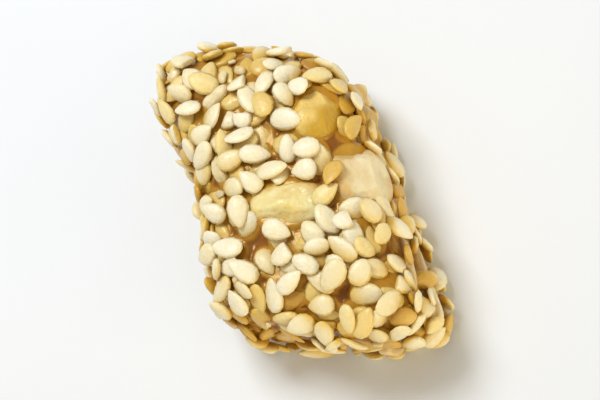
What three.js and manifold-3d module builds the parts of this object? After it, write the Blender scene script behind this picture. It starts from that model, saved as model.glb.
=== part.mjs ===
// A chunky slab of peanut and sesame brittle: a hand-cut block of set caramel, rolled in hulled
// sesame seeds, with peanut pieces half sunk in it. Millimetres, +Z up. The origin is under the
// middle of the block, on the flat spot that it rests on.
import * as THREE from "three";
import { mergeVertices } from "three/addons/utils/BufferGeometryUtils.js";
import Module from "manifold-3d";

const wasm = await Module();
wasm.setup();

// The caramel block, before it leans.
const WIDTH = 21; // along X
const LENGTH = 29.5; // along Y
const THICKNESS = 14.6; // along Z
const ROUNDING = new THREE.Vector3(5.2, 5.2, 4); // how far the knife-cut edges have slumped
const LEAN = 0.24; // the far end sits this much further to -X, per mm of length
const SKEW = -0.14; // the ends slope this much along Y, per mm of width
const TAPER = -0.03; // share by which the far end is narrower
const FLARE = 2.2; // how far the right wall spreads at its foot, towards the near end
const CROWN = 0.7; // rise of the top face's middle
const FAR_BOW = 1; // bulge of the far end
// The left wall bulges towards the far end, and is hollowed near its middle: how deep, and where
// and how far along, as shares of half the length.
const SHOULDER = { depth: 0.8, at: 0.55, spread: 0.32 };
const WAIST = { depth: 2, at: -0.08, spread: 0.45 };
const LUMP = 0.3; // height of the slow lumps all over
const LUMP_WAVE = 11; // their spacing
const SUNK = 0.45; // how much of the lumpy bottom is pressed flat
const CELLS = [8, 11, 6]; // grid cells across the block along X, Y and Z
const MIDDLE = new THREE.Vector2(0.7, 0.3); // what centres the leaning block over the origin

// Sesame seeds: flat teardrops.
const SEED_LENGTH = 3.6;
const SEED_WIDTH = 2.15;
const SEED_HEIGHT = 1;
const SEED_SPREAD = 0.12; // share by which seeds differ in size
const SEED_LIFT = 0.18; // height of a seed's rim above the caramel's skin
const SEED_ROOT = 0.9; // how far a seed's foot goes down from its rim
const SEED_TILT = 0.16; // most that a seed leans, in radians
const SEED_SIDES = 6; // corners of a seed's outline
const SEED_SHARPNESS = 0.42; // how much the outline narrows towards the tip
const SEED_RINGS = [[1, 0], [0.62, 0.36]]; // share of the outline, and height as a share of the seed's
const SEED_APART = 0.71; // share of its outline that a seed keeps to itself
const SEED_CIRCLES = [[-0.3, 0.5], [0, 0.5], [0.3, 0.36]]; // what it keeps: places as shares of its
// length, and radii as shares of its width
const SEED_MOST = 152; // seeds on the block
const SEED_TRIES = 30000; // places tried
const SEED_FLOOR = 0.05; // lowest that a seed may reach
const BARE_SPOTS = [[0.83, 0.28], [-0.36, -0.44], [0.41, -0.8], [0.52, 0.09]]; // on the top
const BARE_RADIUS = 0.9; // of the caramel that shows there

// Peanut pieces: length and width across the skin, and height from root to crown. They lie at
// share (a, b) of a wall's half size from its middle, and stand proud of the skin by `proud`
// before their broken faces are cut. A cut is the way that a broken face looks, in the nut's own
// frame, and its distance from the nut's middle as a share of the way to the uncut skin.
const NUT_GAP = 0.3; // clearance round a nut in its pocket
const NUT_DETAIL = 3; // subdivision of the nut's ball
const NUTS = [
  {
    name: "peanut_pale_half", wall: "right", a: 0.12, b: 0.74, turn: 0.15, proud: 1.3,
    length: 7.8, width: 7.8, height: 4.6, knobs: 0.02, flat: 0.55, colour: 0xe3cf97,
    cuts: [
      [0.1, 0.42, 0.9, 0.8], [-0.1, -0.45, 0.88, 0.82], [0.88, 0.1, 0.46, 0.8], [-0.8, 0.3, 0.5, 0.84],
    ],
  },
  {
    name: "peanut_gold_chip", wall: "top", a: 0.68, b: 0.53, turn: 1.35, proud: 1.35,
    length: 6.2, width: 4.8, height: 3.8, knobs: 0.04, flat: 0.7, colour: 0xd9a648,
    cuts: [
      [0.3, 0.4, 0.86, 0.8], [-0.55, -0.15, 0.82, 0.82], [0.1, -0.75, 0.65, 0.8], [0.85, -0.2, 0.5, 0.8],
    ],
  },
  {
    name: "peanut_glazed_piece", wall: "top", a: 0.1, b: -0.14, turn: 0.15, proud: 1.15,
    length: 8.4, width: 5, height: 3.8, knobs: 0.06, flat: 0.65, colour: 0xe0bd6c,
    cuts: [[0.45, 0.2, 0.87, 0.88], [-0.5, 0.35, 0.79, 0.87], [-0.3, -0.65, 0.7, 0.86]],
  },
  {
    name: "peanut_left_wedge", wall: "left", a: -0.35, b: 0.05, turn: 0.35, proud: 1.5,
    length: 8, width: 4.8, height: 4.2, knobs: 0.02, flat: 0.6, colour: 0xe6d3a0,
    cuts: [[0, 0.4, 0.92, 0.78], [0.1, -0.6, 0.79, 0.82], [0.85, 0, 0.53, 0.82]],
  },
  {
    name: "peanut_right_chip", wall: "right", a: 0.68, b: -0.2, turn: 1.9, proud: 1.3,
    length: 6, width: 4.8, height: 4, knobs: 0.04, flat: 0.7, colour: 0xd7a654,
    cuts: [[0.4, 0.3, 0.87, 0.84], [-0.45, 0.5, 0.74, 0.82], [-0.2, -0.6, 0.77, 0.84]],
  },
  {
    name: "peanut_far_slice", wall: "far", a: -0.05, b: -0.3, turn: 0.8, proud: 1.4,
    length: 7.8, width: 7, height: 3.8, knobs: 0.02, flat: 0.5, colour: 0xe8d6a4,
    cuts: [[0.05, 0, 1, 0.82], [0.8, 0.3, 0.52, 0.88]],
  },
  {
    name: "peanut_near_chip", wall: "near", a: 0, b: 0.3, turn: 0.4, proud: 1.2,
    length: 6, width: 4.2, height: 3.6, knobs: 0.04, flat: 0.7, colour: 0xd79a3e,
    cuts: [[0.5, -0.2, 0.84, 0.82], [-0.3, 0.6, 0.74, 0.84], [-0.55, -0.45, 0.7, 0.86]],
  },
];

const HALF = new THREE.Vector3(WIDTH, LENGTH, THICKNESS).multiplyScalar(0.5);
const AXES = ["x", "y", "z"];
const WALLS = {
  top: { axis: 2, side: 1 },
  bottom: { axis: 2, side: -1 },
  right: { axis: 0, side: 1 },
  left: { axis: 0, side: -1 },
  far: { axis: 1, side: 1 },
  near: { axis: 1, side: -1 },
};

const clamp = THREE.MathUtils.clamp;
const bell = (x, { depth, at, spread }) => depth * Math.exp(-(((x - at) / spread) ** 2));

// Evenly spread numbers from 0 to 1, the same on each run.
function randomFrom(seed) {
  let state = seed;
  return () => {
    state = (state + 0x6d2b79f5) | 0;
    let t = Math.imul(state ^ (state >>> 15), 1 | state);
    t = (t + Math.imul(t ^ (t >>> 7), 61 | t)) ^ t;
    return ((t ^ (t >>> 14)) >>> 0) / 4294967296;
  };
}

// The slow lumps of the skin: three crossed waves.
function lump(p) {
  const k = (2 * Math.PI) / LUMP_WAVE;
  return (LUMP / 2) * (
    Math.sin(k * (p.x + 0.4 * p.z)) * Math.cos(k * 0.8 * p.y + 1)
    + 0.7 * Math.sin(k * 0.9 * (p.z - 0.3 * p.y) + 2) * Math.cos(k * 0.7 * p.x)
    + 0.6 * Math.sin(k * 1.5 * (p.y + 0.5 * p.x) + 0.5)
  );
}

// Where a point on the plain box's skin goes on the block. The box's edges are rounded, the
// lumps are raised along the rounded skin, and then the whole leans, spreads and bulges.
function skin(box) {
  const core = new THREE.Vector3();
  for (const axis of AXES) {
    const reach = HALF[axis] - ROUNDING[axis];
    core[axis] = clamp(box[axis], -reach, reach);
  }
  const out = box.clone().sub(core).divide(ROUNDING).normalize();
  const p = core.add(out.clone().multiply(ROUNDING)).addScaledVector(out, lump(box));
  const u = p.x / HALF.x;
  const v = p.y / HALF.y;
  const w = p.z / HALF.z;
  const low = clamp((1 - w) / 2, 0, 1);
  const near = clamp((1 - v) / 2, 0, 1);
  const right = clamp(u, 0, 1);
  const left = clamp(-u, 0, 1);
  const leaning = new THREE.Vector3(
    p.x * (1 + TAPER * v) - LEAN * p.y + FLARE * right * low * near
      + left * (bell(v, WAIST) - bell(v, SHOULDER)),
    p.y + FAR_BOW * clamp(v, 0, 1) * (1 - u * u),
    p.z + CROWN * clamp(w, 0, 1) * Math.max(1 - u * u, 0) * Math.max(1 - v * v, 0),
  );
  leaning.y += SKEW * leaning.x - MIDDLE.y;
  leaning.x -= MIDDLE.x;
  leaning.z = Math.max(leaning.z + HALF.z - SUNK, 0);
  return leaning;
}

// The point at share (a, b) of a wall's half sizes, on the plain box.
function onWall({ axis, side }, a, b) {
  const p = new THREE.Vector3();
  p[AXES[axis]] = side * HALF[AXES[axis]];
  const first = AXES[(axis + 1) % 3];
  const second = AXES[(axis + 2) % 3];
  p[first] = a * HALF[first];
  p[second] = b * HALF[second];
  return p;
}

// A frame on the skin: its place, with X and Y along the skin and Z straight out of it.
function frameOn(wall, a, b, turn) {
  const step = 0.02;
  const along = skin(onWall(wall, a + step, b)).sub(skin(onWall(wall, a - step, b)));
  const across = skin(onWall(wall, a, b + step)).sub(skin(onWall(wall, a, b - step)));
  const out = along.clone().cross(across).multiplyScalar(wall.side).normalize();
  along.normalize().applyAxisAngle(out, turn);
  return new THREE.Matrix4()
    .makeBasis(along, out.clone().cross(along), out)
    .setPosition(skin(onWall(wall, a, b)));
}

// Two triangles for each cell of a grid, turned so that they face out.
function gridFaces(rows, columns, first, flip) {
  const faces = [];
  for (let i = 0; i < rows; i++)
    for (let j = 0; j < columns; j++) {
      const a = first + i * (columns + 1) + j;
      const b = a + columns + 1;
      if (flip) faces.push(a, b + 1, b, a, a + 1, b + 1);
      else faces.push(a, b, b + 1, a, b + 1, a + 1);
    }
  return faces;
}

// The bare block: a grid on each wall of the box, sent through skin() and merged where they meet.
function blockGeometry() {
  const places = [];
  const faces = [];
  for (const wall of Object.values(WALLS)) {
    const rows = CELLS[(wall.axis + 1) % 3];
    const columns = CELLS[(wall.axis + 2) % 3];
    faces.push(...gridFaces(rows, columns, places.length / 3, wall.side < 0));
    for (let i = 0; i <= rows; i++)
      for (let j = 0; j <= columns; j++)
        places.push(...skin(onWall(wall, (2 * i) / rows - 1, (2 * j) / columns - 1)));
  }
  return indexed(places, faces);
}

function indexed(places, faces) {
  return new THREE.BufferGeometry()
    .setAttribute("position", new THREE.Float32BufferAttribute(places, 3))
    .setIndex(faces);
}

// One seed: an outline that narrows to a tip, a smaller ring above it, and a point above and
// below.
function seedGeometry(scale) {
  const places = [];
  const faces = [];
  for (const [share, height] of SEED_RINGS)
    for (let i = 0; i < SEED_SIDES; i++) {
      const t = (2 * Math.PI * i) / SEED_SIDES;
      places.push(
        (share * SEED_LENGTH * Math.cos(t)) / 2,
        (share * SEED_WIDTH * Math.sin(t) * (1 - SEED_SHARPNESS * Math.cos(t))) / 2,
        height * SEED_HEIGHT,
      );
    }
  places.push(0, 0, SEED_HEIGHT / 2, 0, 0, -SEED_ROOT);
  const crown = 2 * SEED_SIDES;
  for (let i = 0; i < SEED_SIDES; i++) {
    const next = (i + 1) % SEED_SIDES;
    faces.push(i, next, SEED_SIDES + next, i, SEED_SIDES + next, SEED_SIDES + i);
    faces.push(SEED_SIDES + i, SEED_SIDES + next, crown);
    faces.push(next, i, crown + 1);
  }
  return indexed(places, faces).scale(scale, scale, scale);
}

// A peanut piece: a ball with broken faces and slow knobs, flattened underneath and drawn out to
// its size.
function nutGeometry({ length, width, height, knobs, flat, cuts }, gap) {
  const ball = new THREE.IcosahedronGeometry(1, NUT_DETAIL);
  ball.deleteAttribute("normal");
  ball.deleteAttribute("uv");
  const nut = mergeVertices(ball);
  const places = nut.getAttribute("position");
  const planes = cuts.map(([x, y, z, distance]) =>
    new THREE.Vector3(x, y, z).normalize().divideScalar(distance));
  const p = new THREE.Vector3();
  for (let i = 0; i < places.count; i++) {
    p.fromBufferAttribute(places, i);
    const swell = 1 + knobs * (Math.sin(3 * p.x + length) * Math.cos(4 * p.y) + Math.sin(5 * p.z));
    const beyond = Math.max(1, ...planes.map((plane) => plane.dot(p)));
    p.multiplyScalar(swell / beyond);
    p.z = p.z < 0 ? p.z * flat : p.z;
    p.x *= length / 2 + gap;
    p.y *= width / 2 + gap;
    p.z *= height / 2 + gap;
    places.setXYZ(i, p.x, p.y, p.z);
  }
  return nut;
}

// Where a nut sits: its crown stands `proud` above the skin.
function nutPlace({ wall, a, b, turn, proud, height }) {
  return frameOn(WALLS[wall], a, b, turn)
    .multiply(new THREE.Matrix4().makeTranslation(0, 0, proud - height / 2));
}

// The circles that a seed keeps to itself.
function footprint(place, scale) {
  return SEED_CIRCLES.map(([along, radius]) => ({
    centre: new THREE.Vector3(along * SEED_LENGTH * scale, 0, 0).applyMatrix4(place),
    radius: SEED_APART * radius * SEED_WIDTH * scale,
  }));
}

function crowded(circles, others) {
  return others.some((other) => circles.some((circle) => other.some((o) =>
    circle.centre.distanceTo(o.centre) < circle.radius + o.radius)));
}

// A seed stays above the floor and out of the nuts' pockets.
function fits(seed, nuts) {
  const places = seed.getAttribute("position");
  const p = new THREE.Vector3();
  for (let i = 0; i < places.count; i++) {
    p.fromBufferAttribute(places, i);
    if (p.z < SEED_FLOOR) return false;
    if (nuts.some((nut) => nut.near(p))) return false;
  }
  return true;
}

// Tells whether a point is within twice the gap of a nut.
function nutShell(nut) {
  const back = nutPlace(nut).invert();
  const reach = (1 + 2 * nut.knobs);
  return {
    near(point) {
      const p = point.clone().applyMatrix4(back);
      const x = p.x / (nut.length / 2 * reach + 2 * NUT_GAP);
      const y = p.y / (nut.width / 2 * reach + 2 * NUT_GAP);
      const z = p.z / (nut.height / 2 * reach + 2 * NUT_GAP);
      return x * x + y * y + z * z < 1;
    },
  };
}

// The seeds: thrown at the walls in proportion to their area, the largest first, and kept where
// they lie clear of each other.
function scatterSeeds(nuts) {
  const random = randomFrom(11);
  const walls = Object.values(WALLS);
  const areas = walls.map(({ axis }) => HALF[AXES[(axis + 1) % 3]] * HALF[AXES[(axis + 2) % 3]]);
  const whole = areas.reduce((sum, area) => sum + area);
  const kept = BARE_SPOTS.map(([a, b]) => [
    { centre: skin(onWall(WALLS.top, a, b)), radius: BARE_RADIUS },
  ]);
  const seeds = [];
  for (let tried = 0; tried < SEED_TRIES && seeds.length < SEED_MOST; tried++) {
    const scale = 1 + SEED_SPREAD * (1 - (2 * tried) / SEED_TRIES);
    let pick = random() * whole;
    const wall = walls.find((_, i) => (pick -= areas[i]) < 0) ?? walls[0];
    const place = frameOn(wall, 2 * random() - 1, 2 * random() - 1, 2 * Math.PI * random())
      .multiply(new THREE.Matrix4().makeTranslation(0, 0, SEED_LIFT))
      .multiply(new THREE.Matrix4().makeRotationX(SEED_TILT * (2 * random() - 1)))
      .multiply(new THREE.Matrix4().makeRotationY(SEED_TILT * (2 * random() - 1)));
    const circles = footprint(place, scale);
    if (crowded(circles, kept)) continue;
    const seed = seedGeometry(scale).applyMatrix4(place);
    if (!fits(seed, nuts)) continue;
    kept.push(circles);
    seeds.push(seed);
  }
  return seeds;
}

function solidFrom(geometry) {
  const merged = mergeVertices(geometry, 1e-4);
  return new wasm.Manifold(new wasm.Mesh({
    numProp: 3,
    vertProperties: merged.getAttribute("position").array,
    triVerts: new Uint32Array(merged.index.array),
  }));
}

function geometryFrom(solid) {
  const { vertProperties, triVerts } = solid.getMesh();
  const geometry = indexed(vertProperties, Array.from(triVerts)).toNonIndexed();
  geometry.computeVertexNormals();
  return geometry;
}

// Joins a list of solids two by two, which is quicker than one after another.
function joined(solids) {
  if (solids.length === 1) return solids[0];
  const middle = solids.length >> 1;
  return joined(solids.slice(0, middle)).add(joined(solids.slice(middle)));
}

function slabMesh() {
  const pockets = NUTS.map((nut) => solidFrom(nutGeometry(nut, NUT_GAP).applyMatrix4(nutPlace(nut))));
  const seeds = scatterSeeds(NUTS.map(nutShell)).map(solidFrom);
  const slab = joined([solidFrom(blockGeometry()), ...seeds]).subtract(joined(pockets));
  const caramel = new THREE.MeshStandardMaterial({ color: 0xcfa860, roughness: 0.4, metalness: 0 });
  const mesh = new THREE.Mesh(geometryFrom(slab), caramel);
  mesh.name = "brittle_slab";
  return mesh;
}

function nutMesh(nut) {
  const finish = new THREE.MeshStandardMaterial({ color: nut.colour, roughness: 0.5, metalness: 0 });
  const mesh = new THREE.Mesh(nutGeometry(nut, 0), finish);
  mesh.name = nut.name;
  mesh.applyMatrix4(nutPlace(nut));
  return mesh;
}

const sweet = new THREE.Group();
sweet.add(slabMesh());
for (const nut of NUTS) sweet.add(nutMesh(nut));

export default sweet;
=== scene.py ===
"""A chunky slab of peanut and sesame brittle, on a plain pale floor.

Lengths in this file are millimetres, which MM turns into the metres of meshes. A place on a wall
is two shares of its half sizes, from -1 to 1.
"""
import math

import bpy
import numpy as np
from mathutils import Matrix, Vector


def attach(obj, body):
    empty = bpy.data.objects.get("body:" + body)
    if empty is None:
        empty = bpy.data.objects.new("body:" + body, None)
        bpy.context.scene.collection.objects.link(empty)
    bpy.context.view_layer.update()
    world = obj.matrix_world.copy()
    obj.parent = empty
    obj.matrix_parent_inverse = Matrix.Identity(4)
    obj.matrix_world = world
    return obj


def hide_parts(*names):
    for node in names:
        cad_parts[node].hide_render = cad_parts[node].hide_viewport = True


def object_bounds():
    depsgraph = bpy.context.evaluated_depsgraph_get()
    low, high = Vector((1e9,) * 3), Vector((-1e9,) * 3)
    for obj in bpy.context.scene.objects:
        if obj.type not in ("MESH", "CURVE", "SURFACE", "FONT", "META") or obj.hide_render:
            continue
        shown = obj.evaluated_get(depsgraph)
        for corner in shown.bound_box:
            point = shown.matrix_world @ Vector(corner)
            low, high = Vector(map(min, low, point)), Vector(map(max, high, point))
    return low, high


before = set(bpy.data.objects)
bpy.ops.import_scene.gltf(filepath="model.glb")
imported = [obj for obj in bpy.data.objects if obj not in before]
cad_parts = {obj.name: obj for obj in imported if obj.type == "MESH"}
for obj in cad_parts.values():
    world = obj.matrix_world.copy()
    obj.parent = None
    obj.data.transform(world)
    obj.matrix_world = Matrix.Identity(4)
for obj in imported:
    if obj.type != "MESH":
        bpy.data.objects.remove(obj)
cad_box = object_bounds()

MM = 0.001
TURN = 2 * np.pi
ARRANGEMENT = 17  # what all random draws start from

# Walls of the slab: the axis that each faces along, and to which side.
WALLS = {
    "top": (2, 1), "bottom": (2, -1), "right": (0, 1), "left": (0, -1), "far": (1, 1), "near": (1, -1),
}
SIDES = ["top", "right", "left", "far", "near"]
UNDERSIDE = ["bottom"]

# The caramel block, before it leans, as in the part's source.
WIDTH, LENGTH, THICKNESS = 21.0, 29.5, 14.6
HALF = np.array((WIDTH, LENGTH, THICKNESS)) / 2
ROUNDING = np.array((5.2, 5.2, 4.0))  # how far its knife-cut edges have slumped
LEAN = 0.24  # how much further to -X the far end sits, per mm of length
SKEW = -0.14  # how much the ends slope along Y, per mm of width
TAPER = -0.03  # share by which the far end is narrower
FLARE = 2.2  # how far the right wall spreads at its foot, towards the near end
CROWN = 0.7  # rise of the top's middle
FAR_BOW = 1.0  # bulge of the far end
SHOULDER = (0.8, 0.55, 0.32)  # bulge of the left wall: how deep, and where and how far along it
WAIST = (2.0, -0.08, 0.45)  # hollow of the left wall, likewise
LUMP, LUMP_WAVE = 0.3, 11.0  # height and spacing of slow lumps all over
SUNK = 0.45  # how much of the lumpy underside is pressed flat
MIDDLE = np.array((0.7, 0.3, 0.0))  # what centres the leaning block over the origin

# The caramel's skin between what lies on it.
CARAMEL_CELLS = (105, 148, 73)
CARAMEL_SINK = 0.34  # how far it has sunk from the block's own skin
NUT_CLIMB, SEED_CLIMB = (0.7, 0.45), (0.4, 0.24)  # how far from one it climbs, and how high
RIPPLES = ((0.1, 1.8, 3), (0.04, 0.7, 4))  # heights, spacings and seeds of the noise
STREAK_HEIGHT, STREAK_SCALE = 0.14, (0.3, 0.3, 1.3)  # on walls, where they run level
RELIEF_FULL = 0.6  # height above the floor from which all relief is full
CARAMEL_FOOT = 0.06  # height of its flat underside
# Deep caramel is red brown in the hollows between seeds: partly thick caramel's own colour, partly painted
# shade.
DEEP_SHADE_RISE, DEEP_SHADE_RELIEF = (0.3, 0.02), (0.2, -0.25)  # where it starts to look deep, and looks deepest
# Pockets of bare caramel: wall, place on it, and how far the places of seeds stay off.
BARE_SPOTS = (
    ("top", 0.83, 0.28, 2.0), ("top", -0.36, -0.44, 2.0), ("top", 0.41, -0.8, 1.8),
    ("top", 0.52, 0.09, 1.2), ("top", 0.57, -0.36, 0.9), ("top", -0.38, -0.74, 1.5),
    ("top", 0.07, -0.72, 1.0), ("top", 0.01, 0.25, 1.1), ("top", 0.72, -0.53, 1.1),
    ("near", 0.97, 0.0, 1.1), ("near", 0.5, 0.44, 1.3), ("near", 0.4, -0.6, 1.9),
    ("near", 0.35, -0.15, 1.6), ("near", -0.2, -0.4, 1.8),
)
POCKET_DEPTH = 0.25
POCKET_RIM, POCKET_FLOOR = 0.75, 0.2  # where its slope starts and ends, as shares of that distance

# Hulled sesame seeds: length, width and height, the shares by which they differ, and mesh steps.
SEED_SIZE = np.array((3.4, 2.35, 0.92))
SEED_SPREAD = np.array((0.15, 0.13, 0.18))
SEED_AROUND, SEED_ALONG = 8, 7
# What each seed's tip, bend, twist and hollow are drawn from.
TIPS, BENDS, TWISTS, HOLLOWS = (0.55, 0.88), (-0.27, 0.27), (-0.1, 0.1), (0.04, 0.22)
HOLLOW_SPREAD = 0.35  # of the hollow along its back, as a share of its half width
GIRTH_POWER, SINE_POWER = 0.8, 0.9  # what flattens its section
BROKEN_SEEDS = 0.07  # share of them that broke off short
BREAKS, BREAK_SLANT = (-0.1, 0.5), 0.1  # where along it, and how askew
ON_FLOOR = (0.005, 0.04)  # how low its points may lie, drawn for each seed

# How seeds settle.
FEEL = np.array((
    (-0.8, 0), (0.8, 0), (0, -0.75), (0, 0.75), (0, 0), (-0.5, -0.6), (-0.5, 0.6), (0.5, -0.5), (0.5, 0.5),
))  # where one is felt from below, in shares of its half length and half width: ends, sides, the rest
FEEL_UNDER = np.sqrt(1 - (FEEL ** 2).sum(1))  # how far under its middle, as shares of its half height
TOUCH = 0.05  # how far one sinks into what it lies on
YIELD = 0.8  # share of the slope under it that it takes up
STEEPEST = 0.5  # the most that it slopes
JITTER = 0.17  # spread of its own lean, in radians
EMBED_SPREAD = 0.12  # the most that its depth in the caramel differs
WALL_SINK = 0.2  # how much deeper it lies in a wall
LOWEST = 0.3  # lowest middle of one that isn't pressed into the underside
LOW, HIGH = np.array(cad_box) / MM  # the solids' box
ROOM = np.array((0.8, 0.95, 0.45))  # how far past it they may reach
PATCH = 2.6  # spacing of the noise that leaves gaps in the crust
# Layers of seeds, one on the other: most seeds, places tried, least distance between places, how
# deep they lie, how high a middle may end up, and the noise under which there are none.
LAYERS = (
    dict(walls=SIDES, wanted=240, tries=6000, apart=1.9, embed=0.68, highest=0.2, thin=-1.0),
    dict(walls=SIDES, wanted=385, tries=12000, apart=1.56, embed=0.36, highest=1.1, thin=-0.3),
    dict(walls=SIDES, wanted=100, tries=8000, apart=1.4, embed=0.5, highest=0.4, thin=-0.15),
    dict(walls=UNDERSIDE, wanted=110, tries=3000, apart=1.9, embed=0.85, highest=0.6, thin=-1.0),
)

# Syrup on seeds, by height above the skin: none from the first height up, all from the second
# down. It has crept further up some seeds and has drowned a few. On walls it creeps further,
# drowns more and is at full strength where on top it is weaker: partly syrup on the cut sides,
# partly painted warm shade on the walls.
SYRUP_NONE, SYRUP_ALL = 0.65, -0.15
CREEP, WALL_CREEP_AND_SHADE, DROWNED = (-0.15, 0.4), 0.6, 0.6
DROWNED_SHARE, DROWNED_MORE = 0.09, 0.25  # of the seeds on top, and how many more on walls
TOP_SYRUP_AND_SHADE = 0.6  # its strength on top, where on walls it is 1
ONTO_WALL = (0.2, 0.7)  # slopes over which the top turns into a wall
# Amber round each seed's rim and underside: partly syrup, partly painted warm shade and bounce light from the
# caramel.
RIM_SYRUP_AND_SHADE, RIM_BAND = (0.1, 0.42), (0.75, -0.1)  # its strength by the rim, where it ends and is full
TONE_POWER = 1.5  # above 1, it makes dark seeds rarer

# Peanut pieces, as in the part's source: wall, place on it, turn, how far they stand out before
# they are cut, size, height of slow knobs, how flat they are underneath, and their broken faces,
# each a way and a share of the way to the skin. Furrows and a hollow are finer than the source's
# forms. On some, syrup lies thick on the side that looks the way given.
NUTS = {
    "peanut_pale_half": dict(
        wall="right", a=0.12, b=0.74, turn=0.15, proud=1.3, size=(7.8, 7.8, 4.6), knobs=0.02, flat=0.55,
        cuts=((0.1, 0.42, 0.9, 0.8), (-0.1, -0.45, 0.88, 0.82), (0.88, 0.1, 0.46, 0.8),
              (-0.8, 0.3, 0.5, 0.84)),
        furrow=0.01, hollow=0.0, finish="peanut_pale"),
    "peanut_gold_chip": dict(
        wall="top", a=0.68, b=0.53, turn=1.35, proud=1.35, size=(6.2, 4.8, 3.8), knobs=0.04, flat=0.7,
        cuts=((0.3, 0.4, 0.86, 0.8), (-0.55, -0.15, 0.82, 0.82), (0.1, -0.75, 0.65, 0.8),
              (0.85, -0.2, 0.5, 0.8)),
        furrow=0.02, hollow=0.0, syrup=(-0.4, -1.0, 0.1), finish="peanut_caramelised"),
    "peanut_glazed_piece": dict(
        wall="top", a=0.1, b=-0.14, turn=0.15, proud=1.15, size=(8.4, 5.0, 3.8), knobs=0.06, flat=0.65,
        cuts=((0.45, 0.2, 0.87, 0.88), (-0.5, 0.35, 0.79, 0.87), (-0.3, -0.65, 0.7, 0.86)),
        furrow=0.03, hollow=0.0, finish="peanut_glazed"),
    "peanut_left_wedge": dict(
        wall="left", a=-0.35, b=0.05, turn=0.35, proud=1.5, size=(8.0, 4.8, 4.2), knobs=0.02, flat=0.6,
        cuts=((0.0, 0.4, 0.92, 0.78), (0.1, -0.6, 0.79, 0.82), (0.85, 0.0, 0.53, 0.82)),
        furrow=0.008, hollow=0.0, finish="peanut_pale"),
    "peanut_right_chip": dict(
        wall="right", a=0.68, b=-0.2, turn=1.9, proud=1.3, size=(6.0, 4.8, 4.0), knobs=0.04, flat=0.7,
        cuts=((0.4, 0.3, 0.87, 0.84), (-0.45, 0.5, 0.74, 0.82), (-0.2, -0.6, 0.77, 0.84)),
        furrow=0.02, hollow=0.0, syrup=(0.8, 0.4, 0.3), finish="peanut_caramelised"),
    "peanut_far_slice": dict(
        wall="far", a=-0.05, b=-0.3, turn=0.8, proud=1.4, size=(7.8, 7.0, 3.8), knobs=0.02, flat=0.5,
        cuts=((0.05, 0.0, 1.0, 0.82), (0.8, 0.3, 0.52, 0.88)),
        furrow=0.01, hollow=0.14, finish="peanut_pale"),
    "peanut_near_chip": dict(
        wall="near", a=0.0, b=0.3, turn=0.4, proud=1.2, size=(6.0, 4.2, 3.6), knobs=0.04, flat=0.7,
        cuts=((0.5, -0.2, 0.84, 0.82), (-0.3, 0.6, 0.74, 0.84), (-0.55, -0.45, 0.7, 0.86)),
        furrow=0.02, hollow=0.0, syrup=(0.3, -1.0, 0.2), finish="peanut_caramelised"),
}
NUT_CELLS = (46, 46, 32)
NUT_BARE = 0.8  # share of its half width that seeds leave bare
NUT_CLEAR = 0.6  # how far their places stay off that
NUT_ENDS = 0.9  # how far along it that goes, as a share of its half length less its half width
VEIN_SPACING, VEIN_DRAW = 0.7, (0.3, 1, 1)  # furrows, and how their noise is drawn along the nut
GRAIN = (0.5, 0.35, 22)  # between furrows: share of their height, spacing and seed of the noise
GRIT = ((0.018, 0.8, 8), (0.012, 0.35, 9))  # on broken faces: share of the radius, spacing and seed
# The hollow: its sway and spread, as shares of the half width, and where along it ends and is full.
GROOVE_SWAY, GROOVE_SPREAD, GROOVE_ENDS = 0.05, 0.22, (0.85, 0.5)
BREAK_EDGE = (0.98, 1.02)  # over which a whole face turns into a broken one
NUT_EDGES, CHIP_EDGES = 60, 14  # how sharp broken edges are, on nuts and on slivers and crumbs
# Syrup on them: the heights above the skin, and the shares towards its own side, from which it
# comes in and by which it is full, and how ragged each edge is, by noise as in GRIT.
FOOT_SYRUP, FOOT_MOST, FOOT_RAGGED = (0.45, -0.05), 0.8, (0.2, 0.9, 11)
SIDE_SYRUP, SIDE_RAGGED = (-0.25, 0.55), (0.25, 1.4, 16)

# Slivers of peanut, laid along the knife-cut walls: wall, place on it, turn and length.
SLIVERS = (
    ("right", -0.1, 0.56, 0.35, 4.4), ("right", -0.68, -0.28, 0.1, 4.4),
    ("right", -0.47, 0.27, 0.05, 6.4), ("right", -0.4, -0.3, -0.1, 4.8),
    ("right", 0.35, 0.1, 0.5, 3.6), ("near", 0.6, -0.2, 1.3, 4.4),
    ("near", -0.5, 0.45, 0.4, 3.6), ("left", 0.45, 0.3, 0.2, 4.6),
    ("left", 0.2, -0.45, -0.3, 4.0), ("far", 0.4, 0.35, 1.4, 4.2),
    ("top", -0.35, 0.62, 0.8, 3.4), ("top", -0.62, 0.1, 1.9, 3.2),
)
SLIVER_WIDTH, SLIVER_HEIGHT, SLIVER_PROUD = 1.6, 1.6, 0.8
SLIVER_CLEAR = 0.8  # how far the places of seeds stay off its rim
SLIVER_CELLS, SLIVER_CUTS = (16, 8, 6), 5

# Peanut crumbs: places tried, what half their size is drawn from, their proportions, and how high
# above the skin a middle may end up.
CRUMB_TRIES = 190
CRUMB_HALF = (0.26, 0.7)
CRUMB_SHAPE = np.array((1.3, 0.95, 0.6))
CRUMB_HIGHEST = 0.7
CRUMB_CELLS, CRUMB_CUTS = (3, 3, 3), 6

# Broken faces of slivers and crumbs: which way they tend to look, and how deep they cut.
CHIP_WAY, CHIP_DEPTHS = (0, 0, 0.4), (0.65, 0.92)
SQUARENESS = 3  # the power that squares them: 2 is round
CHIP_ROUGH = (0.06, 0.6, 15)  # as in GRIT
SMALL_SYRUP = (0, 0.6)  # what the syrup on each is drawn from


# ---- Shape of the block ----

def bell(x, middle, spread):
    """e to the minus square of x's distance from middle, in spreads."""
    return np.exp(-(((x - middle) / spread) ** 2))


def smooth(low, high, x):
    """0 at low, 1 at high, and an S curve between them. Low may be the larger of the two."""
    t = np.clip((x - low) / (high - low), 0, 1)
    return t * t * (3 - 2 * t)


def unit(v):
    """Vectors divided by their lengths."""
    return v / np.maximum(np.linalg.norm(v, axis=-1, keepdims=True), 1e-12)


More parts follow.
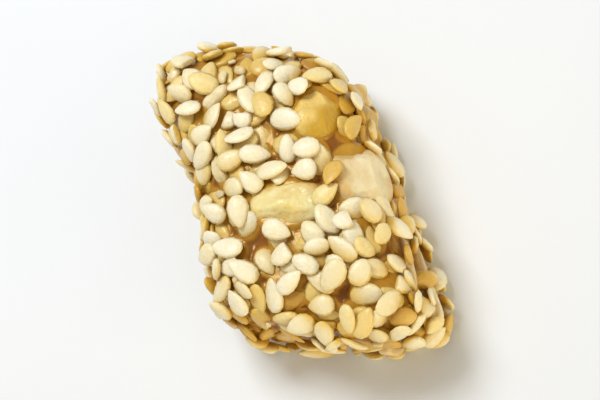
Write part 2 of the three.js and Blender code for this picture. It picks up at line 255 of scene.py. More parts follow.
def lump(p):
    """Three crossed waves over the block, in mm, as in the part's source."""
    k = TURN / LUMP_WAVE
    x, y, z = p[..., 0], p[..., 1], p[..., 2]
    return LUMP / 2 * (
        np.sin(k * (x + 0.4 * z)) * np.cos(k * 0.8 * y + 1)
        + 0.7 * np.sin(k * 0.9 * (z - 0.3 * y) + 2) * np.cos(k * 0.7 * x)
        + 0.6 * np.sin(k * 1.5 * (y + 0.5 * x) + 0.5)
    )


def skin(box):
    """Where points on the plain box's skin go on the block. The nearest point of a smaller box,
    plus an ellipsoid's radius out of it, rounds the edges, and lumps are raised along that
    radius. Then the block leans, its foot spreads, its ends slope and its walls bulge."""
    core = np.clip(box, ROUNDING - HALF, HALF - ROUNDING)
    out = unit((box - core) / ROUNDING)
    p = core + out * ROUNDING + out * lump(box)[..., None]
    u, v, w = np.moveaxis(p / HALF, -1, 0)
    low = np.clip((1 - w) / 2, 0, 1)
    near = np.clip((1 - v) / 2, 0, 1)
    right, left = np.clip(u, 0, 1), np.clip(-u, 0, 1)
    x = p[..., 0] * (1 + TAPER * v) - LEAN * p[..., 1] + FLARE * right * low * near
    x = x + left * (WAIST[0] * bell(v, *WAIST[1:]) - SHOULDER[0] * bell(v, *SHOULDER[1:]))
    y = p[..., 1] + FAR_BOW * np.clip(v, 0, 1) * (1 - u * u) + SKEW * x
    rise = CROWN * np.clip(w, 0, 1) * np.maximum(1 - u * u, 0) * np.maximum(1 - v * v, 0)
    z = np.maximum(p[..., 2] + rise + HALF[2] - SUNK, 0)
    return np.stack((x, y, z), -1) - MIDDLE


def on_wall(wall, a, b):
    """Points at shares (a, b) of a wall's half sizes, on the plain box."""
    axis, side = WALLS[wall]
    a, b = np.broadcast_arrays(np.asarray(a, float), np.asarray(b, float))
    p = np.empty(a.shape + (3,))
    p[..., axis] = side * HALF[axis]
    p[..., (axis + 1) % 3] = a * HALF[(axis + 1) % 3]
    p[..., (axis + 2) % 3] = b * HALF[(axis + 2) % 3]
    return p


def frames_on(wall, a, b, turn):
    """Frames on the skin: places, and axes along, across and out of the skin, turned by turn
    about out. The two tangents are differences over a small step."""
    step = 0.02
    a, b, turn = (np.atleast_1d(np.asarray(v, float)) for v in (a, b, turn))
    along = unit(skin(on_wall(wall, a + step, b)) - skin(on_wall(wall, a - step, b)))
    across = unit(skin(on_wall(wall, a, b + step)) - skin(on_wall(wall, a, b - step)))
    out = unit(np.cross(along, across) * WALLS[wall][1])
    side = np.cross(out, along)
    c, s = np.cos(turn)[:, None], np.sin(turn)[:, None]
    along = c * along + s * side
    return skin(on_wall(wall, a, b)), np.stack((along, np.cross(out, along), out), -1)


# Large odd numbers, and shifts by some bits, that scramble a lattice point and a seed.
POINT_MIX, SEED_MIX = (73856093, 19349663, 83492791), 2654435
SCRAMBLES = ((13, 1274126177), (16, 668265263))
SCRAMBLED_MOST = 0x7FFFFFFF


def noise(p, spacing, seed):
    """Smooth noise from -1 to 1: random numbers on a lattice of that spacing, each scrambled from
    its lattice point and the seed, and blended by an S curve along X, Y and Z."""
    q = p / spacing
    cell = np.floor(q).astype(np.int64)
    f = q - cell
    f = f * f * (3 - 2 * f)
    total = np.zeros(p.shape[:-1])
    for corner in np.ndindex(2, 2, 2):
        x, y, z = np.moveaxis((cell + corner) * POINT_MIX, -1, 0)
        h = x ^ y ^ z ^ (seed * SEED_MIX)
        for shift, factor in SCRAMBLES:
            h = (h ^ (h >> shift)) * factor & SCRAMBLED_MOST
        weight = np.ones(p.shape[:-1])
        for k, past in enumerate(corner):
            weight = weight * (f[..., k] if past else 1 - f[..., k])
        total += weight * (h / (SCRAMBLED_MOST // 2) - 1)
    return total


def rough(p, height, spacing, seed):
    """Smooth noise from minus height to height."""
    return height * noise(p, spacing, seed)


# ---- Meshes ----

def make_piece(name, points, faces, material, replaced, attributes):
    """A smooth-shaded mesh object at the origin, riding on the part, from points in mm and
    attributes with a number for each point."""
    mesh = bpy.data.meshes.new(name)
    mesh.vertices.add(len(points))
    mesh.vertices.foreach_set("co", (points * MM).astype(np.float32).ravel())
    mesh.loops.add(faces.size)
    mesh.loops.foreach_set("vertex_index", faces.astype(np.int32).ravel())
    mesh.polygons.add(len(faces))
    mesh.polygons.foreach_set("loop_start", np.arange(0, faces.size, faces.shape[1], dtype=np.int32))
    mesh.polygons.foreach_set("use_smooth", np.full(len(faces), True))
    for key, values in attributes.items():
        layer = mesh.attributes.new(key, "FLOAT", "POINT")
        layer.data.foreach_set("value", values.astype(np.float32))
    mesh.update(calc_edges=True)
    mesh.validate()
    mesh.materials.append(material)
    piece = bpy.data.objects.new(name, mesh)
    bpy.context.scene.collection.objects.link(piece)
    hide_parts(*replaced)
    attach(piece, "root")


def cube_grid(cells):
    """Points on a box's skin from -1 to 1, with shared borders, and quads that face out."""
    points, quads = [], []
    first = 0
    for axis, side in WALLS.values():
        rows, columns = cells[(axis + 1) % 3], cells[(axis + 2) % 3]
        i, j = np.meshgrid(np.arange(rows + 1), np.arange(columns + 1), indexing="ij")
        p = np.empty(i.shape + (3,))
        p[..., axis] = side
        p[..., (axis + 1) % 3] = 2 * i / rows - 1
        p[..., (axis + 2) % 3] = 2 * j / columns - 1
        points.append(p.reshape(-1, 3))
        corner = (first + i[:-1, :-1] * (columns + 1) + j[:-1, :-1]).ravel()
        quad = np.stack((corner, corner + columns + 1, corner + columns + 2, corner + 1), 1)
        quads.append(quad if side > 0 else quad[:, ::-1])
        first += i.size
    points, quads = np.concatenate(points), np.concatenate(quads)
    merged, where = np.unique(np.round(points, 7), axis=0, return_inverse=True)
    return merged, where.reshape(-1)[quads]


def vertex_normals(points, quads):
    """The mean of the diagonals' cross products of the quads round each point."""
    first, second, third, fourth = (points[quads[:, k]] for k in range(4))
    flat = np.cross(third - first, fourth - second)
    total = np.zeros_like(points)
    for k in range(4):
        np.add.at(total, quads[:, k], flat)
    return unit(total)


# ---- Seeds and what else lies on the block ----
#
# What is laid is kept as ellipsoids, in a dict of arrays: their middles, axes and radii, the place
# on the skin under each, and the way out of the skin there.

def seed_grid(around, along):
    """Angles round a seed and shares of its length from -1, the round end, to 1, the tip, for its
    rings of points and then its two ends. The faces are quads: the ends are closed by quads that
    take in two steps of the ring."""
    share = -np.cos(np.pi * np.arange(1, along) / along)
    angle = TURN * np.arange(around) / around
    share, angle = np.broadcast_arrays(share[:, None], angle[None, :])
    share = np.concatenate((share.ravel(), (-1, 1)))
    angle = np.concatenate((angle.ravel(), (0, 0)))
    i, j = np.meshgrid(np.arange(along - 2), np.arange(around), indexing="ij")
    k = (j + 1) % around
    sides = np.stack((i * around + j, i * around + k, (i + 1) * around + k, (i + 1) * around + j), -1)
    j = np.arange(0, around, 2)
    tail, tip, last = len(share) - 2, len(share) - 1, (along - 2) * around
    first = np.stack((np.full(len(j), tail), (j + 2) % around, j + 1, j), 1)
    end = np.stack((np.full(len(j), tip), last + j, last + j + 1, last + (j + 2) % around), 1)
    return share, angle, np.vstack((sides.reshape(-1, 4), first, end))


def seeds_points(laid, random, share, angle):
    """Points of many hulled sesame seeds, and how far each is above its seed's rim, as a share of
    its half height. A seed's half width is (1 + s)^0.5 times (1 - s)^q, for its share of length s,
    over that product's most. A q above 0.5 draws the tip to a point. Its height is a power of the
    half width times a power of the angle's sine, which makes a flattened oval, and its back is a
    little hollowed along the middle. Its ends bend up or down and turn aside by the square of s.
    Each seed has its own q, bend, twist and hollow, and a few are broken off short."""
    count = len(laid["middle"])
    q, bend, twist, hollow = (random.uniform(*each, (count, 1)) for each in (TIPS, BENDS, TWISTS, HOLLOWS))
    widest = (0.5 - q) / (0.5 + q)
    girth = (1 + share) ** 0.5 * np.maximum(1 - share, 0) ** q / ((1 + widest) ** 0.5 * (1 - widest) ** q)
    y = girth * np.cos(angle)
    up = girth ** GIRTH_POWER * np.sign(np.sin(angle)) * np.abs(np.sin(angle)) ** SINE_POWER
    z = up * (1 - hollow * bell(y, 0, HOLLOW_SPREAD)) + bend * (share * share - 0.5)
    y = y + twist * share * share
    broken = random.uniform(0, 1, (count, 1)) < BROKEN_SEEDS
    whole = np.where(broken, random.uniform(*BREAKS, (count, 1)), 1)
    local = np.stack((np.minimum(share, whole + BREAK_SLANT * y), y, z), -1) * laid["radii"][:, None]
    world = np.einsum("nij,nkj->nki", laid["axes"], local) + laid["middle"][:, None]
    world[..., 2] = np.maximum(world[..., 2], random.uniform(*ON_FLOOR, (count, 1)))
    return world, up


def ray_heights(points, out, middle, axes, radii):
    """How far along out each point is from the far side of each ellipsoid, or minus infinity
    where the ray misses it. In the ellipsoid's own shares that is the larger root t of
    |p + t d|^2 = 1."""
    p = np.einsum("kmj,mji->kmi", points[:, None] - middle[None], axes) / radii
    d = np.einsum("j,mji->mi", out, axes) / radii
    a, b, c = (d * d).sum(-1), (p * d).sum(-1), (p * p).sum(-1) - 1
    inside = b * b - a * c
    return np.where(inside > 0, (np.sqrt(np.maximum(inside, 0)) - b) / a, -np.inf)


def settle(laid, place, axes, radii, embed):
    """Lets a seed or a crumb down on the skin, into which it sinks by embed, and on what is laid
    already. It leans as the ground under its ends and its sides does, and comes to rest at its
    highest touching point. Returns its height above the skin and its new axes."""
    along, across, out = axes.T
    reach = FEEL * radii[:2]
    points = place + reach[:, :1] * along + reach[:, 1:] * across
    ground = np.full(len(FEEL), -embed)
    close = np.linalg.norm(laid["middle"] - place, axis=1) < laid["radii"].max(1) + radii[0]
    if close.any():
        under = (laid[key][close] for key in ("middle", "axes", "radii"))
        ground = np.maximum(ground, ray_heights(points, out, *under).max(1) - TOUCH)
    span = (FEEL[1, 0] - FEEL[0, 0]) * radii[0], (FEEL[3, 1] - FEEL[2, 1]) * radii[1]
    slope = np.array((ground[1] - ground[0], ground[3] - ground[2])) / span
    slope = np.clip(YIELD * slope, -STEEPEST, STEEPEST)
    height = (ground - reach @ slope + FEEL_UNDER * radii[2]).max()
    along = unit(along + slope[0] * out)
    across = across + slope[1] * out
    across = unit(across - (across @ along) * along)
    return height, np.stack((along, across, np.cross(along, across)), 1)


def throw(random, tries, walls):
    """Random seeds on some walls, as many for each as its area asks: places, frames and radii."""
    areas = np.array([np.prod(np.delete(HALF, WALLS[w][0])) for w in walls])
    wall = random.choice(len(walls), tries, p=areas / areas.sum())
    a, b = random.uniform(-1, 1, (2, tries))
    turn = random.uniform(0, TURN, tries)
    place, axes = np.empty((tries, 3)), np.empty((tries, 3, 3))
    for n, name in enumerate(walls):
        chosen = wall == n
        place[chosen], axes[chosen] = frames_on(name, a[chosen], b[chosen], turn[chosen])
    return place, axes, SEED_SIZE / 2 * (1 + SEED_SPREAD * random.uniform(-1, 1, (tries, 3)))


def small_turn(about_x, about_y):
    """A turn by small angles about X and then Y."""
    cx, sx, cy, sy = math.cos(about_x), math.sin(about_x), math.cos(about_y), math.sin(about_y)
    return np.array(((1, 0, 0), (0, cx, -sx), (0, sx, cx))) @ np.array(((cy, 0, sy), (0, 1, 0), (-sy, 0, cy)))


def within(spheres, place):
    """Whether a place is in any of the spheres, which are rows of x, y, z and radius."""
    return (np.linalg.norm(spheres[:, :3] - place, axis=1) < spheres[:, 3]).any()


def lay_seeds(random, laid, kept_clear, walls, wanted, tries, apart, embed, highest, thin):
    """Lays seeds one by one. A seed is left out if it would lie in a place kept clear or where slow
    noise is under thin, come nearer than apart to another of its layer, end up above highest or
    under LOWEST, or reach out of the box and its room. The underside has no places kept clear."""
    lowest = LOWEST
    if walls is UNDERSIDE:
        kept_clear, lowest = kept_clear[:0], -np.inf
    place, axes, radii = throw(random, tries, walls)
    depth = embed + EMBED_SPREAD * random.uniform(-1, 1, tries) + WALL_SINK * (1 - np.abs(axes[:, 2, 2]))
    jitter = random.normal(0, JITTER, (tries, 2))
    crusted = noise(place, PATCH, 12) > thin
    mine = []
    for n in range(tries):
        if len(mine) == wanted:
            break
        if not crusted[n] or within(kept_clear, place[n]):
            continue
        if mine and (np.linalg.norm(np.array(mine) - place[n], axis=1) < apart).any():
            continue
        height, leaning = settle(laid, place[n], axes[n], radii[n], depth[n])
        out = axes[n, :, 2]
        middle = place[n] + out * height
        if height > highest or middle[2] < lowest:
            continue
        leaning = leaning @ small_turn(*jitter[n])
        reach = np.sqrt(leaning ** 2 @ radii[n] ** 2)
        if (middle + reach > HIGH + ROOM).any() or (middle - reach < LOW - ROOM).any():
            continue
        mine.append(place[n])
        for key, value in (("middle", middle), ("axes", leaning), ("radii", radii[n]),
                           ("skin", place[n]), ("out", out)):
            laid[key] = np.concatenate((laid[key], value[None]))


def nut_frame(nut):
    """The middle, axes and radii of a nut's ellipsoid."""
    place, axes = frames_on(nut["wall"], nut["a"], nut["b"], nut["turn"])
    radii = np.array(nut["size"]) / 2
    return place[0] + axes[0][:, 2] * (nut["proud"] - radii[2]), axes[0], radii


def sliver_frame(wall, a, b, turn, length):
    """The middle, axes and radii of a sliver's ellipsoid."""
    place, axes = frames_on(wall, a, b, turn)
    radii = np.array((length, SLIVER_WIDTH, SLIVER_HEIGHT)) / 2
    return place[0] + axes[0][:, 2] * (SLIVER_PROUD - radii[2]), axes[0], radii


def keep_clear(nuts, slivers):
    """Spheres in which no seed has its place, as rows of x, y, z and radius: the bare pockets come
    first, then two along each nut and three along each sliver, each half way up it. Those of a
    sliver are half its half length apart."""
    spheres = [(*skin(on_wall(wall, a, b)), radius) for wall, a, b, radius in BARE_SPOTS]
    for middle, axes, radii in nuts:
        longest = int(radii[1] > radii[0])
        for side in (-1, 1):
            past = side * abs(radii[0] - radii[1]) * NUT_ENDS * axes[:, longest]
            crown = middle + past + axes[:, 2] * radii[2] * 0.5
            spheres.append((*crown, radii[:2].min() * NUT_BARE + NUT_CLEAR))
    for middle, axes, radii in slivers:
        for side in (-1, 0, 1):
            crown = middle + side * radii[0] * 0.5 * axes[:, 0] + axes[:, 2] * radii[2] * 0.5
            spheres.append((*crown, radii[1] + SLIVER_CLEAR))
    return np.array(spheres)


def crumb_bodies(random, laid, kept_clear):
    """Peanut crumbs caught among the seeds, off the places kept clear, and settled as the seeds
    are: a middle, axes and radii for each."""
    place, axes, _ = throw(random, CRUMB_TRIES, SIDES)
    bodies = []
    for n in range(CRUMB_TRIES):
        radii = random.uniform(*CRUMB_HALF) * CRUMB_SHAPE
        height, leaning = settle(laid, place[n], axes[n], radii, radii[2])
        middle = place[n] + axes[n, :, 2] * height
        if height < CRUMB_HIGHEST and middle[2] > LOWEST and not within(kept_clear, place[n]):
            bodies.append((middle, leaning, radii))
    return bodies


# ---- Materials ----

def colour(code):
    """Linear RGBA of an sRGB hex colour."""
    srgb = [int(code[i:i + 2], 16) / 255 for i in (1, 3, 5)]
    return [c / 12.92 if c <= 0.04045 else ((c + 0.055) / 1.055) ** 2.4 for c in srgb] + [1.0]


def new_material(name):
    """A material with a Principled surface: the material, its tree and that shader."""
    made = bpy.data.materials.new(name)
    made.use_nodes = True
    return made, made.node_tree, made.node_tree.nodes["Principled BSDF"]


def add(tree, kind, output, inputs, **settings):
    """Adds a node with its settings, and returns the output asked for. An input is a number, a hex
    colour, or the output of another node, which is linked."""
    node = tree.nodes.new("ShaderNode" + kind)
    for key, value in settings.items():
        setattr(node, key, value)
    for key, value in inputs.items():
        if isinstance(value, bpy.types.NodeSocket):
            tree.links.new(value, node.inputs[key])
        else:
            node.inputs[key].default_value = colour(value) if isinstance(value, str) else value
    return node.outputs[output]


def markings(tree, sizes_mm, painted):
    """What a surface's looks go by: noises on the piece's own coordinates, with spots about as
    large as each size, and then its own painted attributes."""
    where = add(tree, "TexCoord", "Object", {})
    spots = [add(tree, "TexNoise", "Fac", {"Vector": where, "Scale": 1 / (size * MM), "Detail": 4.0})
             for size in sizes_mm]
    return spots + [add(tree, "Attribute", "Fac", {}, attribute_name=name) for name in painted]


def tinted(tree, base, tints):
    """Lays tints over a base colour, one by one. A tint is a marking, the range of it over which
    the tint comes in, how strong it gets, and its colour."""
    for marking, low, high, most, tint in tints:
        share = add(tree, "MapRange", 0, {0: marking, 1: low, 2: high, 3: 0.0, 4: most})
        base = add(tree, "Mix", 2, {0: share, 6: base, 7: tint}, data_type="RGBA")
    return base


def finish(tree, shader, base, ranges, height, depth_mm, **numbers):
    """Links the base colour, inputs that follow a marking over a range of it from one value to
    another, and bump from a marking. Sets the shader's own numbers, whose names have _ for a
    space."""
    tree.links.new(base, shader.inputs["Base Color"])
    for name, (marking, low, high, at_low, at_high) in ranges.items():
        value = add(tree, "MapRange", 0, {0: marking, 1: low, 2: high, 3: at_low, 4: at_high})
        tree.links.new(value, shader.inputs[name])
    normal = add(tree, "Bump", "Normal", {"Height": height, "Distance": depth_mm * MM, "Strength": 0.7})
    tree.links.new(normal, shader.inputs["Normal"])
    for name, value in numbers.items():
        shader.inputs[name.replace("_", " ")].default_value = value


def set_caramel():
    """Boiled sugar and malt syrup, set hard: glossy and clear enough to be gold where it is thin,
    red brown where it lies deep between seeds, partly as thick caramel and partly as painted shade
    in those hollows, and clouded and streaked where it was stirred."""
    made, tree, shader = new_material("set_caramel")
    cloud, streak, swell, depth = markings(tree, (3.5, 1.4, 1.3), ["depth"])
    base = tinted(tree, "#AE7C28", (
        (cloud, 0.35, 0.65, 1.0, "#BC8E34"),
        (streak, 0.56, 0.72, 0.5, "#9A611A"),
        (streak, 0.42, 0.26, 0.3, "#CBA348"),
        # Red brown where the caramel lies deep: partly thick caramel's colour, partly painted shade in the
        # hollows.
        (depth, 0.0, 1.0, 1.0, "#8A5726"),
    ))
    ranges = {"Roughness": (cloud, 0.3, 0.7, 0.12, 0.24), "Coat Weight": (depth, 0.0, 0.5, 0.12, 0.0)}
    finish(tree, shader, base, ranges, swell, 0.06, IOR=1.49, Specular_IOR_Level=0.4,
           Specular_Tint=colour("#FFE8AC"), Subsurface_Weight=0.08,
           Subsurface_Radius=(1.0, 0.82, 0.35), Subsurface_Scale=0.8 * MM, Coat_Roughness=0.06)
    return made


def hulled_sesame(name, pale, shade, amber, deep):
    """Hulled sesame: waxy, off-white flesh that glows a little, faintly pitted, under a thin
    glaze that is amber where the syrup has crept up it, and deeper where the syrup lies thick. The
    amber round its rim is partly syrup and partly painted warm shade. Its pits and specks are drawn
    coarser than real ones, to show."""
    made, tree, shader = new_material(name)
    cloud, speck, pit, wax, tone, coat, rim = markings(tree, (1.0, 0.3, 0.4, 0.6), ["tone", "coat", "rim"])
    base = tinted(tree, pale, (
        (tone, 0.0, 1.0, 1.0, shade),
        (cloud, 0.42, 0.7, 0.5, shade),
        # Amber round the rim: partly syrup, partly painted warm shade.
        (rim, 0.0, 1.0, 1.0, amber),
        (speck, 0.55, 0.75, 0.3, amber),
        (coat, 0.0, 0.65, 0.9, amber),
        (coat, 0.6, 1.0, 0.85, deep),
    ))
    ranges = {"Roughness": (wax, 0.3, 0.7, 0.28, 0.46), "Coat Weight": (coat, 0.0, 0.6, 0.12, 0.35)}
    finish(tree, shader, base, ranges, pit, 0.16, IOR=1.49, Specular_IOR_Level=0.35,
           Subsurface_Weight=0.3, Subsurface_Radius=(1.0, 0.88, 0.45), Subsurface_Scale=0.8 * MM,
           Coat_Roughness=0.12)
    return made


def peanut_flesh(name, pale, shade, amber, glaze):
    """Roasted peanut: dense, oily, cream flesh, smooth on its back, crumbly and paler where it
    broke, and browner where the syrup has soaked in. Glaze is how much syrup coats it all over."""
    made, tree, shader = new_material(name)
    cloud, speck, grit, coat, broken, vein = markings(tree, (2.0, 0.45, 0.5), ["coat", "broken", "vein"])
    base = tinted(tree, pale, (
        (cloud, 0.38, 0.62, 1.0, shade),
        (vein, 0.5, 0.8, 0.45, amber),
        (speck, 0.58, 0.72, 0.45, amber),
        (broken, 0.0, 1.0, 0.35, pale),
        (coat, 0.0, 1.0, 1.0, amber),
    ))
    ranges = {"Roughness": (broken, 0.0, 1.0, 0.32, 0.5), "Coat Weight": (coat, 0.0, 0.6, glaze, 0.5)}
    finish(tree, shader, base, ranges, grit, 0.2, IOR=1.47, Specular_IOR_Level=0.4,
           Subsurface_Weight=0.25, Subsurface_Radius=(1.0, 0.86, 0.42), Subsurface_Scale=1.0 * MM,
           Coat_Roughness=0.12)
    return made


# Seeds by how well they toasted: the range of a random number that makes one of them, and the
# colours of its flesh, of its shade, and of thin and thick syrup on it.
SEED_KINDS = {
    "ivory": (0.0, 0.85, "#F5EED8", "#EEE0B8", "#E0BE5A", "#D2A536"),
    "golden": (0.85, 0.98, "#F4E3AC", "#E8CD84", "#D5AD48", "#C89A2C"),
    "toasted": (0.98, 1.0, "#E6C36E", "#D4AA50", "#BE9038", "#B5822A"),
}
# Peanut: the colours of its flesh, of its shade and of syrup on it, and how glazed it is.
PEANUT_FINISHES = {
    "peanut_pale": ("#EEE1BE", "#E2D09E", "#D3AE68", 0.1),
    "peanut_glazed": ("#EFE3AA", "#E3CE82", "#D0A64A", 0.35),
    "peanut_caramelised": ("#F2DC96", "#E2BA54", "#C89E22", 0.2),
}


# ---- Pieces ----

def rise_round(points, middle, axes, radii, width, top):
    """How far the caramel climbs round an ellipsoid: top at its outline, falling to 0 at width mm
    outside it, for points no more than 1 mm above or below it."""
    q = (points - middle) @ axes
    r = np.linalg.norm(q[:, :2] / radii[:2], axis=1)
    reach = 1 + width / radii[:2].mean()
    near = np.abs(q[:, 2]) < radii[2] + 1
    return np.where(near, top * smooth(reach, 1.0, r), 0)


def caramel_block(laid, first, pockets):
    """The block: a fine grid over the skin, sunk between the seeds and in its pockets, drawn up
    round each seed and nut, rippled, and streaked along its walls. The nuts are the first ones
    laid. Its depth is greatest where it has neither climbed nor swelled, and there its colour is
    darkened, partly as thick caramel and partly as painted shade in the hollows."""
    points, quads = cube_grid(CARAMEL_CELLS)
    p = skin(points * HALF)
    out = vertex_normals(p, quads)
    rise = np.zeros(len(p))
    for n in range(len(laid["middle"])):
        middle, axes, radii = laid["middle"][n], laid["axes"][n], laid["radii"][n]
        width, top = NUT_CLIMB if n < first else SEED_CLIMB
        close = np.nonzero(np.abs(p - middle).max(1) < radii[0] + width)[0]
        rise[close] = np.maximum(rise[close], rise_round(p[close], middle, axes, radii, width, top))
    relief = rise - CARAMEL_SINK
    for ripple in RIPPLES:
        relief += rough(p, *ripple)
    wall = 1 - np.abs(out[:, 2])
    relief += STREAK_HEIGHT * wall * noise(p * STREAK_SCALE, 1.0, 5)
    for x, y, z, radius in pockets:
        away = np.linalg.norm(p - (x, y, z), axis=1)
        relief -= POCKET_DEPTH * smooth(POCKET_RIM * radius, POCKET_FLOOR * radius, away)
    p = p + out * (relief * smooth(0.0, RELIEF_FULL, p[:, 2]))[:, None]
    p[:, 2] = np.maximum(p[:, 2], CARAMEL_FOOT)
    make_piece("caramel_block", p, quads, set_caramel(), ["brittle_slab"],
               {"depth": smooth(*DEEP_SHADE_RISE, rise) * smooth(*DEEP_SHADE_RELIEF, relief)})


def seed_pieces(laid, first, random):
    """Makes one piece of each kind of seed, from the seeds laid after the first ones. Tone, rim
    and coat say how dark a seed's flesh is, how much amber its rim carries, as syrup and as painted
    warm shade, and how much syrup each point carries, more on walls, where it is partly painted
    warm shade."""
    laid = {key: value[first:] for key, value in laid.items()}
    share, angle, quads = seed_grid(SEED_AROUND, SEED_ALONG)
    world, up = seeds_points(laid, random, share, angle)
    count, each = world.shape[:2]
    above = ((world - laid["skin"][:, None]) * laid["out"][:, None]).sum(-1)
    kind = random.uniform(0, 1, count)
    tone = random.uniform(0, 1, (count, 1)) ** TONE_POWER
    wall = 1 - np.abs(laid["out"][:, 2:3])
    crept = random.uniform(*CREEP, (count, 1))
    drowned = random.uniform(0, 1, (count, 1)) < DROWNED_SHARE + DROWNED_MORE * wall
    # More amber on walls than on top: partly syrup on the cut sides, partly painted warm shade.
    coat = smooth(SYRUP_NONE, SYRUP_ALL, above - (crept + DROWNED * drowned) - WALL_CREEP_AND_SHADE * wall)
    coat = coat * (TOP_SYRUP_AND_SHADE + (1 - TOP_SYRUP_AND_SHADE) * smooth(*ONTO_WALL, wall))
    # Amber round each seed's rim and underside: partly syrup, partly painted warm shade.
    rim = smooth(*RIM_BAND, up) * random.uniform(*RIM_SYRUP_AND_SHADE, (count, 1))
    for name, (low, high, *colours) in SEED_KINDS.items():
        chosen = (kind >= low) & (kind < high)
        number = np.arange(chosen.sum())[:, None, None] * each
        make_piece(name + "_seeds", world[chosen].reshape(-1, 3), (quads[None] + number).reshape(-1, 4),
                   hulled_sesame("hulled_sesame_" + name, *colours), ["brittle_slab"],
                   {"tone": np.repeat(tone[chosen], each), "coat": coat[chosen].ravel(),
                    "rim": rim[chosen].ravel()})


def chipped(ball, cuts, sharpness):
    """Radii of a nut in the directions of a unit ball's points, and how far each lies on a broken
    face. A radius is 1, or less where one of the cuts takes it off, and a high power rounds the
    edges between them."""
    cuts = np.asarray(cuts)
    cut = np.maximum(ball @ unit(cuts[:, :3]).T, 0) / cuts[:, 3]
    return (1 + (cut ** sharpness).sum(1)) ** (-1 / sharpness), smooth(*BREAK_EDGE, cut.max(1))


def nut_piece(name, nut, material):
    """A peanut piece, as in the part's source: a ball with slow knobs, cut to its broken faces,
    flattened underneath and drawn out to its size. Along it run fine furrows and a hollow, and
    its broken faces are gritty. Syrup coats its foot, and may lie thick on one side."""
    points, quads = cube_grid(NUT_CELLS)
    ball = unit(points)
    middle, axes, radii = nut_frame(nut)
    shape, broken = chipped(ball, nut["cuts"], NUT_EDGES)
    x, y, z = ball.T
    swell = 1 + nut["knobs"] * (np.sin(3 * x + nut["size"][0]) * np.cos(4 * y) + np.sin(5 * z))
    at = ball * radii
    vein = noise(at * VEIN_DRAW, VEIN_SPACING, 21)
    fine = nut["furrow"] * (rough(at, *GRAIN) - vein)
    fine = fine + broken * sum(rough(at, *grit) for grit in GRIT)
    local = at * (shape * (swell + fine))[:, None]
    groove = nut["hollow"] * radii[2] * (z > 0) * bell(y, GROOVE_SWAY * np.sin(4 * x), GROOVE_SPREAD)
    local[:, 2] -= groove * smooth(*GROOVE_ENDS, np.abs(x))
    local[:, 2] = np.where(local[:, 2] < 0, local[:, 2] * nut["flat"], local[:, 2])
    above = local[:, 2] - (radii[2] - nut["proud"])
    coat = smooth(*FOOT_SYRUP, above + rough(at, *FOOT_RAGGED)) * FOOT_MOST
    if "syrup" in nut:
        facing = ball @ unit(np.array(nut["syrup"]))
        coat = np.maximum(coat, smooth(*SIDE_SYRUP, facing + rough(at, *SIDE_RAGGED)))
    make_piece(name.replace("peanut_", "") + "_nut", local @ axes.T + middle, quads, material, [name],
               {"coat": coat, "broken": broken, "vein": 0.5 + 0.5 * vein})


def random_cuts(random, count):
    """Broken faces that look mostly outwards."""
    ways = random.normal(0, 1, (count, 3)) + CHIP_WAY
    return np.hstack((ways, random.uniform(*CHIP_DEPTHS, (count, 1))))


def joined_nuts(name, bodies, cells, cuts, random, material):
    """One piece of small chipped nut bodies, each with a middle, axes and radii. A power of the
    ball squares each one a little before it is cut and roughened."""
    points, quads = cube_grid(cells)
    ball = unit(points)
    square = (np.abs(ball) ** SQUARENESS).sum(1) ** (-1 / SQUARENESS)
    worlds = []
    for middle, axes, radii in bodies:
        shape, _ = chipped(ball, random_cuts(random, cuts), CHIP_EDGES)
        at = ball * (shape * square)[:, None] * radii
        at = at * (1 + rough(at + middle, *CHIP_ROUGH))[:, None]
        worlds.append(at @ axes.T + middle)
    faces = quads[None] + (np.arange(len(worlds)) * len(points))[:, None, None]
    coat = np.repeat(random.uniform(*SMALL_SYRUP, len(worlds)), len(points))
    make_piece(name, np.concatenate(worlds), faces.reshape(-1, 4), material,
               ["brittle_slab"], {"coat": coat, "broken": np.ones_like(coat), "vein": np.zeros_like(coat)})


def slab():
    """The whole slab: nuts and slivers take their places first, then the layers of seeds, the
    caramel is drawn up round them all, and crumbs are strewn over it."""
    random = np.random.default_rng(ARRANGEMENT)
    nuts = [nut_frame(nut) for nut in NUTS.values()]
    slivers = [sliver_frame(*sliver) for sliver in SLIVERS]
    kept_clear = keep_clear(nuts, slivers)
    first = len(nuts + slivers)
    laid = {key: np.array(each) for key, each in zip(("middle", "axes", "radii"), zip(*nuts, *slivers))}
    laid["skin"] = laid["middle"].copy()
    laid["out"] = laid["axes"][:, :, 2].copy()
    for layer in LAYERS:
        lay_seeds(random, laid, kept_clear, **layer)
    finishes = {name: peanut_flesh(name, *looks) for name, looks in PEANUT_FINISHES.items()}
    caramel_block(laid, first, kept_clear[:len(BARE_SPOTS)])
    seed_pieces(laid, first, random)
    pale = finishes["peanut_pale"]
    joined_nuts("nut_slivers", slivers, SLIVER_CELLS, SLIVER_CUTS, random, pale)
    crumbs = crumb_bodies(random, laid, kept_clear)
    joined_nuts("nut_crumbs", crumbs, CRUMB_CELLS, CRUMB_CUTS, random, pale)
    for name, nut in NUTS.items():
        nut_piece(name, nut, finishes[nut["finish"]])


# ---- Floor, light and camera ----

FLOOR_HALF = 1500.0
# The camera looks down on the broad face, from the near right, with the slab's length up the frame.
AZIMUTH, ELEVATION, ROLL = 46.0, 67.0, -2.0
AIM = np.array((0.0, 0.0, 7.0))
LENS = 180.0
SENSOR_WIDTH, SENSOR_HEIGHT = 36.0, 24.0
FRAME_HEIGHT = 43.0
NEAREST_SEEN = 5.0
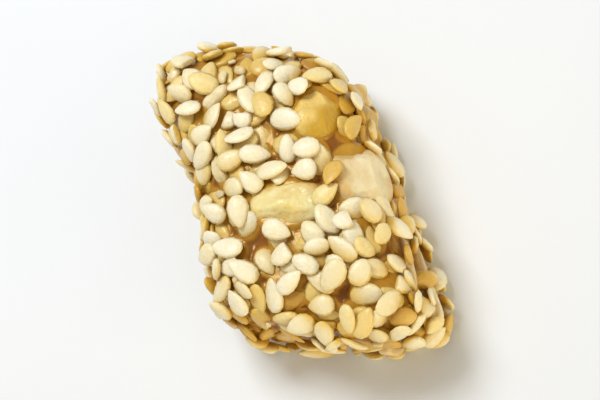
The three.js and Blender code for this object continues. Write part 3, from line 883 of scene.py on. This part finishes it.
# Lamps: the way to each, as shares of the frame's up, right and back, then distance, size, watts
# and tint. A warm one from the right and one from the front light the walls.
LAMPS = {
    "key": ((0.6, -0.55, 0.75), 300, 120, 0.64, "#FBFDFA"),
    "fill": ((-0.5, 1.0, 0.5), 350, 260, 1.0, "#FFEAAA"),
    "front": ((-1.0, 0.1, 0.4), 350, 260, 0.38, "#FFEAAE"),
}
ROOM_LIGHT, ROOM_TINT = 0.44, "#FFF9EE"


def floor():
    """A plain pale table top."""
    made, tree, shader = new_material("pale_table")
    shader.inputs["Base Color"].default_value = colour("#E9EDF6")
    shader.inputs["Roughness"].default_value = 0.7
    mesh = bpy.data.meshes.new("floor")
    s = FLOOR_HALF * MM
    mesh.from_pydata([(-s, -s, 0), (s, -s, 0), (s, s, 0), (-s, s, 0)], [], [(0, 1, 2, 3)])
    mesh.materials.append(made)
    piece = bpy.data.objects.new("floor", mesh)
    bpy.context.scene.collection.objects.link(piece)


def view_axes():
    """The camera's right, up and back axes, at AZIMUTH round from the near end and ELEVATION above
    the floor. Up is the slab's length as the camera sees it, turned by ROLL."""
    a, e, r = math.radians(AZIMUTH), math.radians(ELEVATION), math.radians(ROLL)
    back = np.array((math.sin(a) * math.cos(e), -math.cos(a) * math.cos(e), math.sin(e)))
    up = np.array((-math.sin(r), math.cos(r), 0.0))
    up = unit(up - (up @ back) * back)
    return np.cross(up, back), up, back


def camera():
    """The scene's camera, as far from AIM as shows FRAME_HEIGHT there."""
    right, up, back = view_axes()
    data = bpy.data.cameras.new("camera")
    data.lens = LENS
    data.sensor_width = SENSOR_WIDTH
    data.clip_start = NEAREST_SEEN * MM
    distance = FRAME_HEIGHT * LENS / SENSOR_HEIGHT
    place = (AIM + back * distance) * MM
    made = bpy.data.objects.new("camera", data)
    turn = Matrix([list(row) for row in np.stack((right, up, back), 1)]).to_4x4()
    made.matrix_world = Matrix.Translation(place.tolist()) @ turn
    bpy.context.scene.collection.objects.link(made)
    bpy.context.scene.camera = made


def soft_box(name, direction, distance, size, watts, tint):
    """A square soft box that faces the slab, placed along a direction from it."""
    data = bpy.data.lights.new(name, "AREA")
    data.shape = "SQUARE"
    data.size = size * MM
    data.energy = watts
    data.color = colour(tint)[:3]
    made = bpy.data.objects.new(name, data)
    towards = Vector(unit(direction).tolist())
    made.location = towards * distance * MM
    made.rotation_euler = towards.to_track_quat("Z", "Y").to_euler()
    bpy.context.scene.collection.objects.link(made)


def studio():
    """The lamps and an even room light, with colours shown as they are."""
    right, up, back = view_axes()
    for name, (way, *rest) in LAMPS.items():
        soft_box(name, way[0] * up + way[1] * right + way[2] * back, *rest)
    world = bpy.data.worlds.new("studio")
    world.use_nodes = True
    world.node_tree.nodes["Background"].inputs["Color"].default_value = colour(ROOM_TINT)
    world.node_tree.nodes["Background"].inputs["Strength"].default_value = ROOM_LIGHT
    bpy.context.scene.world = world
    bpy.context.scene.view_settings.view_transform = "Standard"


slab()
floor()
camera()
studio()
